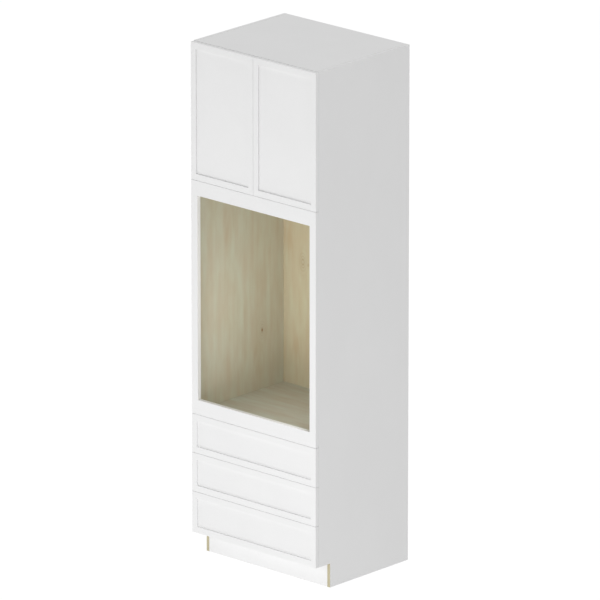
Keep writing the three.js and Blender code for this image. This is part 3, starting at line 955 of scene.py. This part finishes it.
class CABINET_OT_shelf_supports(bpy.types.Operator):
    """Nickel supports of the shelf"""

    bl_idname = "cabinet.shelf_supports"
    bl_label = "Shelf supports"

    def execute(self, context):
        for depth in ("front", "rear"):
            for word in SIDES:
                dress(f"{depth}_{word}_shelf_support", sizes().metal_easing, nickel())
        return {"FINISHED"}


# ---------------------------------------------------------------- fronts


class CABINET_OT_oven_front(bpy.types.Operator):
    """Lacquered front round the oven opening"""

    bl_idname = "cabinet.oven_front"
    bl_label = "Oven front"

    def execute(self, context):
        dress("oven_surround_panel", sizes().front_easing, lacquer())
        return {"FINISHED"}


class CABINET_OT_doors(bpy.types.Operator):
    """Lacquered frames and panels of the two doors"""

    bl_idname = "cabinet.doors"
    bl_label = "Doors"

    def execute(self, context):
        for word in SIDES:
            dress(f"{word}_door_frame", sizes().front_easing, lacquer())
            dress(f"{word}_door_panel", sizes().board_easing, lacquer())
        return {"FINISHED"}


class CABINET_OT_drawer_fronts(bpy.types.Operator):
    """Lacquered drawer fronts with a recessed field"""

    bl_idname = "cabinet.drawer_fronts"
    bl_label = "Drawer fronts"

    def execute(self, context):
        for word in DRAWERS:
            dress(f"{word}_drawer_front", sizes().front_easing, lacquer())
        return {"FINISHED"}


class CABINET_OT_buffers(bpy.types.Operator):
    """Soft buffers on the backs of the doors and drawer fronts"""

    bl_idname = "cabinet.buffers"
    bl_label = "Buffers"

    def execute(self, context):
        radius, height = sizes().buffer_radius, sizes().buffer_height
        bpy.ops.object.select_all(action="DESELECT")
        bpy.ops.mesh.primitive_cylinder_add(
            vertices=ROUND_SIDES, radius=radius, depth=height, location=(0, 0, height / 2)
        )
        master = bpy.context.object
        bpy.ops.object.transform_apply(location=True)
        select_faces(master, faces("z", 1))
        bpy.ops.mesh.bevel(offset=height * 0.5, segments=3, affect="EDGES")
        bpy.ops.object.mode_set(mode="OBJECT")
        inset = BUFFER_INSET * radius
        floor_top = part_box("cupboard_floor")[1].z
        ceiling = CASE_TOP - BOARD
        for word, side in SIDES.items():
            low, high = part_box(f"{word}_door_frame")
            inner = side * (min(abs(low.x), abs(high.x)) + inset)
            levels = ((low.z + floor_top) / 2, (high.z + ceiling) / 2)
            places = [((inner, FRONTS_BACK, level), (0, 1, 0)) for level in levels]
            self.add(master, f"{word}_door_buffers", f"{word}_door", places)
        for word in DRAWERS:
            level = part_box(f"{word}_drawer_front")[1].z - inset
            outer = (INNER_FACE + OUTER_FACE) / 2
            places = [((side * outer, FRONTS_BACK, level), (0, 1, 0)) for side in SIDES.values()]
            self.add(master, f"{word}_drawer_buffers", f"{word}_drawer", places)
        bpy.data.objects.remove(master)
        return {"FINISHED"}

    def add(self, master, name, body, places):
        piece = joined(name, stamped(master, places))
        piece.data.materials.append(nylon())
        complete(piece, body, "front_lacquer")


# ---------------------------------------------------------------- hinges


class CABINET_OT_hinges(bpy.types.Operator):
    """Concealed hinges: cups, arms, crank links and screws"""

    bl_idname = "cabinet.hinges"
    bl_label = "Hinges"

    def execute(self, context):
        head = screw_head("pan_head", sizes().screw_radius, sizes().screw_height)
        for word, side in SIDES.items():
            for level in HINGES:
                hinge = f"{word}_{level}_hinge"
                dress(f"{hinge}_cup", sizes().metal_easing, nickel())
                dress(f"{hinge}_arm", sizes().metal_easing, nickel())
                self.add_screws(head, hinge, word, side)
                self.add_link(hinge, word, side)
        bpy.data.objects.remove(head)
        return {"FINISHED"}

    def add_screws(self, head, hinge, word, side):
        cup_low, cup_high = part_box(f"{hinge}_cup")
        middle = (cup_low.z + cup_high.z) / 2
        cup_x = (cup_low.x + cup_high.x) / 2 - side * CUP_SCREW_IN
        levels = (middle - CUP_SCREW_RISE, middle + CUP_SCREW_RISE)
        cup_places = [((cup_x, cup_high.y, level), (0, 1, 0)) for level in levels]
        screws(f"{hinge}_cup_screws", head, f"{word}_door", cup_places)
        plate_y = CASE_FRONT + PLATE_SCREW_BACK
        levels = (middle - PLATE_SCREW_RISE, middle + PLATE_SCREW_RISE)
        arm_places = [((side * PLATE_FACE, plate_y, level), (-side, 0, 0)) for level in levels]
        arm_places.append(((side * ARM_FACE, CASE_FRONT + ARM_SCREW_BACK, middle), (-side, 0, 0)))
        screws(f"{hinge}_arm_screws", head, "case", arm_places)

    def add_link(self, hinge, word, side):
        """A strap from the arm's nose into the cup, in short steps."""
        width, thickness = sizes().link_width, sizes().link_thickness
        arm_low, arm_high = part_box(f"{hinge}_arm")
        middle = (arm_low.z + arm_high.z) / 2
        start = Vector((side * LINK_START[0], arm_low.y + LINK_START[1], middle))
        end = Vector((side * LINK_END[0], arm_low.y + LINK_END[1], middle))
        step = (end - start) / LINK_STEPS
        bpy.ops.object.select_all(action="DESELECT")
        bpy.ops.mesh.primitive_cube_add(size=1, location=start - step / 2)
        link = bpy.context.object
        link.name = link.data.name = f"{hinge}_link"
        link.scale = (thickness, abs(step.y), width)
        bpy.ops.object.transform_apply(location=True, scale=True)
        select_faces(link, faces("y", -1))
        for _ in range(LINK_STEPS):
            bpy.ops.mesh.extrude_region_move(TRANSFORM_OT_translate={"value": step})
        bpy.ops.object.mode_set(mode="OBJECT")
        link.data.materials.append(nickel())
        select_only(link)
        bpy.ops.object.shade_smooth_by_angle(angle=SMOOTH_BELOW)
        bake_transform(link)


# ---------------------------------------------------------------- drawers


class CABINET_OT_drawer_boxes(bpy.types.Operator):
    """Birch drawer boxes with dovetailed sides, and the screws that hold their fronts"""

    bl_idname = "cabinet.drawer_boxes"
    bl_label = "Drawer boxes"

    def execute(self, context):
        easing = sizes().board_easing
        head = screw_head("front_screw", sizes().screw_radius, sizes().screw_height)
        for word in DRAWERS:
            for hand in SIDES:
                dress(
                    f"{word}_drawer_{hand}_side",
                    easing,
                    box_side(word),
                    (box_side_edge(), faces("z", 1)),
                    (box_side_edge(), faces("z", -1)),
                )
            for end in ("front", "back"):
                node = f"{word}_drawer_box_{end}"
                dress(
                    node,
                    easing,
                    birch_ends(),
                    (box_end_edge(node), faces("z", 1)),
                    (box_end_edge(node), faces("z", -1)),
                )
            dress(f"{word}_drawer_bottom", easing, birch_bottom())
            low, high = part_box(f"{word}_drawer_box_front")
            places = [
                ((side * FRONT_SCREW_OUT, high.y, level), (0, 1, 0))
                for side in SIDES.values()
                for level in (low.z + FRONT_SCREW_RISE, high.z - FRONT_SCREW_DROP)
            ]
            screws(f"{word}_drawer_front_screws", head, f"{word}_drawer", places)
        bpy.data.objects.remove(head)
        return {"FINISHED"}


class CABINET_OT_runners(bpy.types.Operator):
    """Roller runners: powder-coated rails, nylon rollers and flush screws"""

    bl_idname = "cabinet.runners"
    bl_label = "Runners"

    def execute(self, context):
        head = screw_head("flush_head", sizes().screw_radius, sizes().flush_height)
        for word in DRAWERS:
            box_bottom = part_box(f"{word}_drawer_right_side")[0].z
            for hand, side in SIDES.items():
                drawer_rail = f"{word}_drawer_{hand}_rail"
                case_rail = f"{word}_drawer_{hand}_case_rail"
                for node in (drawer_rail, case_rail):
                    roller = self.roller_test(node, box_bottom)
                    dress(node, sizes().metal_easing, powder_coat(), (nylon(), roller))
                rail_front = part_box(drawer_rail)[0].y
                places = [
                    ((side * FOOT_SCREW_PLACE, rail_front + along, box_bottom - FOOT_DROP), (0, 0, -1))
                    for along in FOOT_SCREWS_ALONG
                ]
                screws(f"{drawer_rail}_screws", head, f"{word}_drawer", places)
                rail_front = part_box(case_rail)[0].y
                places = [
                    ((side * WEB_FACE, rail_front + along, box_bottom + WEB_SCREW_RISE), (-side, 0, 0))
                    for along in WEB_SCREWS_ALONG
                ]
                screws(f"{case_rail}_screws", head, "case", places)
        bpy.data.objects.remove(head)
        return {"FINISHED"}

    def roller_test(self, node, box_bottom):
        """A test for the faces of a rail's roller, by their place round its axle."""
        low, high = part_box(node)
        if node.endswith("case_rail"):
            axle = Vector((low.y + ROLLER_INSET, box_bottom + CASE_AXLE_RISE))
        else:
            axle = Vector((high.y - ROLLER_INSET, box_bottom + DRAWER_AXLE_RISE))

        def test(middle, normal):
            near = (middle.yz - axle).length < ROLLER_REACH
            return near and ROLLER_SPAN[0] < INNER_FACE - abs(middle.x) < ROLLER_SPAN[1]

        return test


# ---------------------------------------------------------------- studio


class CABINET_OT_studio(bpy.types.Operator):
    """Pale floor, soft light from all round, the softboxes and the camera"""

    bl_idname = "cabinet.studio"
    bl_label = "Studio"

    def execute(self, context):
        studio = context.scene.cabinet_studio
        self.add_floor(studio)
        self.add_sky(context.scene, studio)
        for name, setting, size, place, aim in SOFTBOXES:
            self.add_softbox(name, getattr(studio, setting), size, place, aim)
        self.add_camera(context.scene, studio)
        context.scene.view_settings.view_transform = "Standard"
        return {"FINISHED"}

    def add_floor(self, studio):
        bpy.ops.object.select_all(action="DESELECT")
        bpy.ops.mesh.primitive_circle_add(vertices=96, radius=FLOOR_RADIUS, fill_type="NGON")
        floor = bpy.context.object
        floor.name = "studio_floor"
        floor.data.materials.append(floor_finish(studio.floor_glow))

    def add_sky(self, scene, studio):
        world = bpy.data.worlds.new("soft_sky")
        world.use_nodes = True
        sky = world.node_tree.nodes["Background"]
        sky.inputs["Color"].default_value = (1, 1, 1, 1)
        sky.inputs["Strength"].default_value = studio.sky
        scene.world = world

    def add_softbox(self, name, power, size, place, aim):
        light = bpy.data.lights.new(name, "AREA")
        light.shape = "RECTANGLE"
        light.size, light.size_y = size
        light.energy = power
        softbox = bpy.data.objects.new(name, light)
        softbox.location = place
        softbox.rotation_euler = (Vector(aim) - softbox.location).to_track_quat("-Z", "Y").to_euler()
        softbox.visible_camera = False
        bpy.context.scene.collection.objects.link(softbox)

    def add_camera(self, scene, studio):
        data = bpy.data.cameras.new("camera")
        data.lens = studio.lens
        data.sensor_width = SENSOR_WIDTH
        data.clip_end = CAMERA_RANGE
        camera = bpy.data.objects.new("camera", data)
        camera.location = CAMERA_PLACE
        camera.rotation_euler = (-Vector(CAMERA_BACK)).to_track_quat("-Z", "Y").to_euler()
        scene.collection.objects.link(camera)
        scene.camera = camera


# ---------------------------------------------------------------- panel and registration

PIECES = (
    "side_panels",
    "level_boards",
    "back",
    "toe_board",
    "shelf_supports",
    "oven_front",
    "doors",
    "drawer_fronts",
    "buffers",
    "hinges",
    "drawer_boxes",
    "runners",
    "studio",
)


class CABINET_PT_sidebar(bpy.types.Panel):
    """Lists the cabinet's settings and its steps"""

    bl_idname = "CABINET_PT_sidebar"
    bl_label = "Tall Oven Housing Unit"
    bl_space_type = "VIEW_3D"
    bl_region_type = "UI"
    bl_category = "Cabinet"

    def draw(self, context):
        scene = context.scene
        for group in (scene.cabinet_finishes, scene.cabinet_sizes, scene.cabinet_studio):
            column = self.layout.column()
            for setting in group.__annotations__:
                column.prop(group, setting)
        for piece in PIECES:
            self.layout.operator(f"cabinet.{piece}")


CLASSES = (
    CabinetFinishes,
    CabinetSizes,
    CabinetStudio,
    CABINET_OT_side_panels,
    CABINET_OT_level_boards,
    CABINET_OT_back,
    CABINET_OT_toe_board,
    CABINET_OT_shelf_supports,
    CABINET_OT_oven_front,
    CABINET_OT_doors,
    CABINET_OT_drawer_fronts,
    CABINET_OT_buffers,
    CABINET_OT_hinges,
    CABINET_OT_drawer_boxes,
    CABINET_OT_runners,
    CABINET_OT_studio,
    CABINET_PT_sidebar,
)


def register():
    for cls in CLASSES:
        bpy.utils.register_class(cls)
    bpy.types.Scene.cabinet_finishes = bpy.props.PointerProperty(type=CabinetFinishes)
    bpy.types.Scene.cabinet_sizes = bpy.props.PointerProperty(type=CabinetSizes)
    bpy.types.Scene.cabinet_studio = bpy.props.PointerProperty(type=CabinetStudio)


def unregister():
    del bpy.types.Scene.cabinet_studio
    del bpy.types.Scene.cabinet_sizes
    del bpy.types.Scene.cabinet_finishes
    for cls in reversed(CLASSES):
        bpy.utils.unregister_class(cls)


def main():
    register()
    for piece in PIECES:
        getattr(bpy.ops.cabinet, piece)()


if __name__ == "__main__":
    main()
